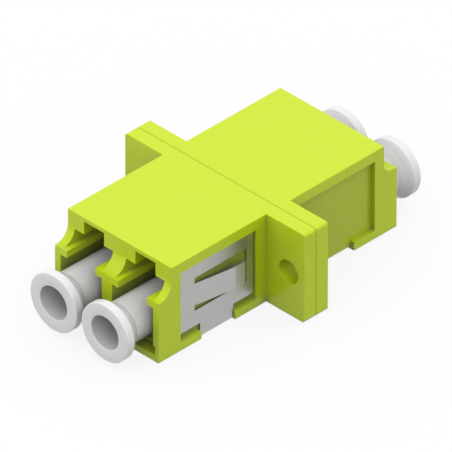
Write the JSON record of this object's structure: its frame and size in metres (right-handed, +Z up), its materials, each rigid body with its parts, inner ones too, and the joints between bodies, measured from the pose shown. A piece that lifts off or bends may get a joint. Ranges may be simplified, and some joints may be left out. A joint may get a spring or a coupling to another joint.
{
  "type": "duplex fibre adapter",
  "caption": "Flanged duplex fibre adapter that joins LC connectors through a panel, with split sleeves, a spring clip and pull-out dust plugs.",
  "frame": {"origin": "centre of the underside, on the plane where the two housing halves meet", "axes": "+Z up, the front ports and the clip towards -Y, +X to the right when looking into the front ports"},
  "size_m": [0.0218, 0.0356, 0.0092],
  "materials": {
    "housing": "satin lime-green moulded plastic",
    "clip": "satin stainless spring sheet",
    "sleeve": "polished zirconia",
    "plug": "soft translucent white plastic"
  },
  "bodies": {
    "housing": {"front_housing": "housing", "rear_housing": "housing", "panel_clip": "clip", "alignment_sleeve_left": "sleeve", "alignment_sleeve_right": "sleeve"},
    "front_left_plug": {"dust_plug_front_left": "plug"},
    "front_right_plug": {"dust_plug_front_right": "plug"},
    "rear_left_plug": {"dust_plug_rear_left": "plug"},
    "rear_right_plug": {"dust_plug_rear_right": "plug"}
  },
  "joints": [
    {"name": "front_left_plug_pull", "type": "slide", "parent": "housing", "child": "front_left_plug", "axis": [0, -1, 0], "range_m": [0, 0.0136]},
    {"name": "front_right_plug_pull", "type": "slide", "parent": "housing", "child": "front_right_plug", "axis": [0, -1, 0], "range_m": [0, 0.0136]},
    {"name": "rear_left_plug_pull", "type": "slide", "parent": "housing", "child": "rear_left_plug", "axis": [0, 1, 0], "range_m": [0, 0.0136]},
    {"name": "rear_right_plug_pull", "type": "slide", "parent": "housing", "child": "rear_right_plug", "axis": [0, 1, 0], "range_m": [0, 0.0136]}
  ]
}
